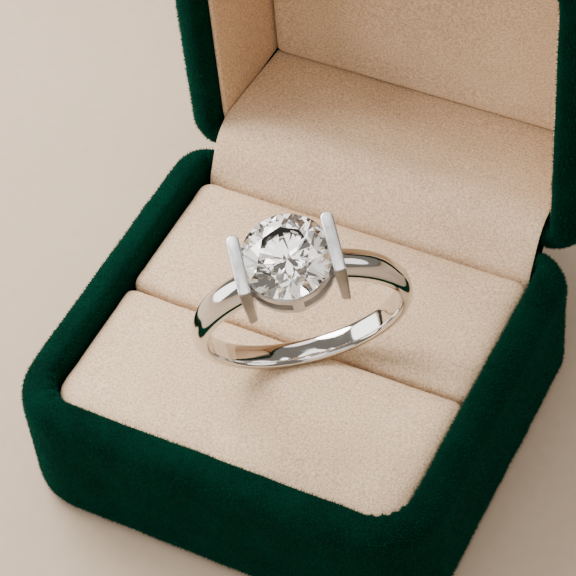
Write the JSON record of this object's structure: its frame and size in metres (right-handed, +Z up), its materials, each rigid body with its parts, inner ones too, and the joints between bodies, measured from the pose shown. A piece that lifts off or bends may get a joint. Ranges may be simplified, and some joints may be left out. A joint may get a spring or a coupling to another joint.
{
  "type": "bar set ring in an open ring box",
  "caption": "Ring with a round brilliant held between bars, standing on the cushions of an open velvet ring box.",
  "frame": {"origin": "middle of the flat underside of the box's base", "axes": "+X right along the front wall, +Y back towards the hinge, +Z up"},
  "size_m": [0.0426, 0.054, 0.0495],
  "materials": {
    "white_metal": "polished",
    "clear_stone": "polished, faceted",
    "green_velvet": "short dense pile",
    "cream_suede": "fine matt nap",
    "hinge_steel": "plain"
  },
  "bodies": {
    "box": {"ring_mount": "white_metal", "stone": "clear_stone", "base_shell": "green_velvet", "front_pad": "cream_suede", "rear_pad": "cream_suede", "hinge_rod": "hinge_steel", "hinge_cover": "cream_suede"},
    "lid": {"lid_shell": "green_velvet", "lid_lining": "cream_suede", "lid_panel": "cream_suede"}
  },
  "joints": [
    {"name": "lid_hinge", "type": "hinge", "parent": "box", "child": "lid", "pos_m": [0, 0.01795, 0.01285], "axis": [1, 0, 0], "range_deg": [0, 48], "deforming": ["hinge_cover"]}
  ]
}
